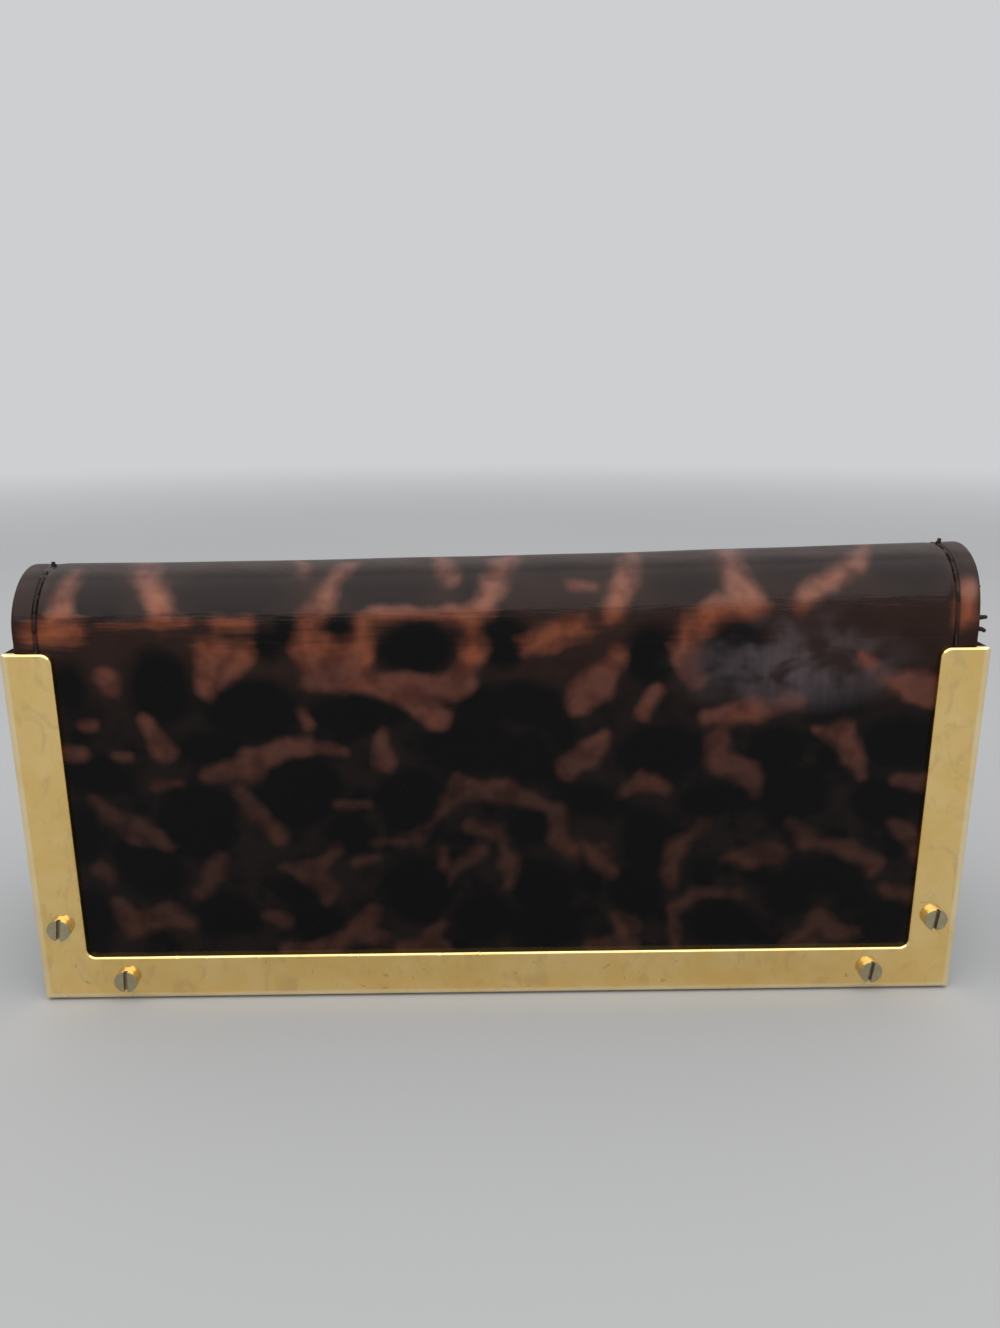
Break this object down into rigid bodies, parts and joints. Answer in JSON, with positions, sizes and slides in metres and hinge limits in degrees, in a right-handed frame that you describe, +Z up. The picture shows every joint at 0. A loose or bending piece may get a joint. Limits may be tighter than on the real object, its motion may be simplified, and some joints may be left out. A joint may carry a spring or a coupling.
{
  "type": "sunglasses case",
  "caption": "Hard sunglasses case with a flat front lid that swings up on a leather hinge, a gold corner frame held by slotted screws, and a padded suede interior.",
  "frame": {"origin": "on the underside of the base, at the middle of the case's width and depth", "axes": "+X along the case to the right seen from the front, +Y from the lid towards the back, +Z up"},
  "size_m": [0.165, 0.0492, 0.0786],
  "materials": {
    "tortoise_leather": "glossy coated leather printed with a tortoiseshell pattern",
    "dark_leather": "dark brown smooth leather",
    "suede_lining": "short-napped tan suede cloth",
    "foam": "soft padding foam",
    "moulded_shell": "moulded stiffening shell",
    "board": "pressed fibreboard",
    "gold_brass": "polished gold-plated brass",
    "steel": "plain steel",
    "nickel": "nickel-plated magnet",
    "thread": "dark waxed sewing thread"
  },
  "bodies": {
    "case_body": {"body_shell": "moulded_shell", "body_foam": "foam", "body_lining": "suede_lining", "back_cover": "tortoise_leather", "base_cover": "dark_leather", "lip_cover": "tortoise_leather", "end_board_left": "board", "end_board_right": "board", "end_cover_left": "tortoise_leather", "end_cover_right": "tortoise_leather", "end_lining_left": "suede_lining", "end_lining_right": "suede_lining", "catch_plates": "steel", "seam_thread_left": "thread", "seam_thread_right": "thread", "hinge_lining_upper": "suede_lining"},
    "front_lid": {"lid_board": "board", "lid_cover": "tortoise_leather", "lid_edge_wrap": "dark_leather", "lid_foam": "foam", "lid_lining": "suede_lining", "lid_magnets": "nickel", "corner_frame": "gold_brass", "frame_screws": "gold_brass", "screw_nuts": "steel", "hinge_lining_lower": "suede_lining"}
  },
  "joints": [
    {"name": "lid_hinge", "type": "hinge", "parent": "case_body", "child": "front_lid", "pos_m": [0, -0.0229, 0.0664], "axis": [-1, 0, 0], "range_deg": [0, 130]}
  ]
}
